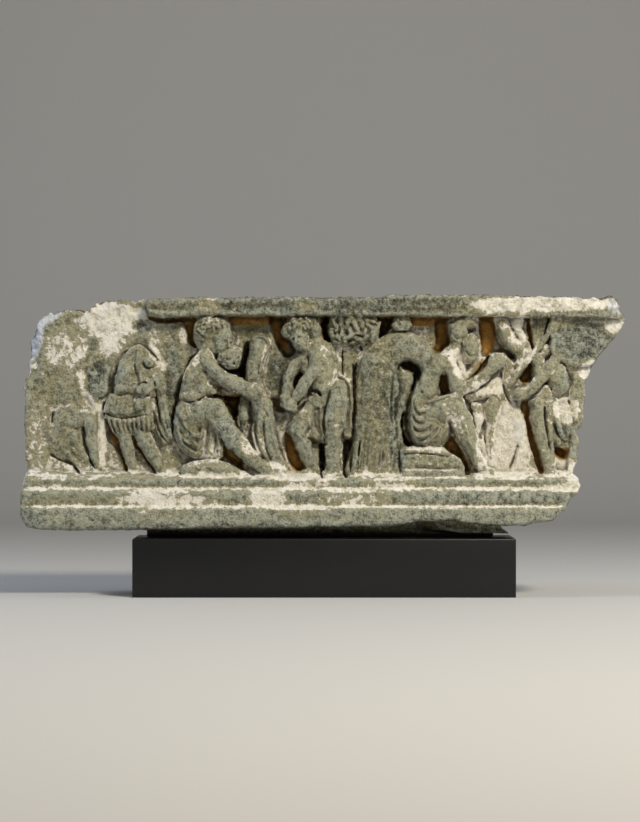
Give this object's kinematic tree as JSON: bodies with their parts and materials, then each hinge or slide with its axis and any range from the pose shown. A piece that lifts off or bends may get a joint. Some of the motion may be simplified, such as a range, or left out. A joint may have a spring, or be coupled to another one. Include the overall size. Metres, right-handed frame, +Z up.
{
  "type": "stone relief panel",
  "caption": "Broken fragment of a carved schist frieze with a row of figures between a top fillet and stepped base mouldings, resting on a black display block.",
  "frame": {"origin": "under the middle of the block, on the surface it stands on: the middle of the whole object's box at its lowest level", "axes": "+Z up, the carved face looks along -Y, +X to the right as seen from the front"},
  "size_m": [0.521, 0.085, 0.2585],
  "materials": {
    "schist": "weathered carved schist, cream deposit in the hollows",
    "block": "black satin lacquer"
  },
  "bodies": {
    "root": {"relief_panel": "schist", "display_block": "block"}
  },
  "joints": []
}
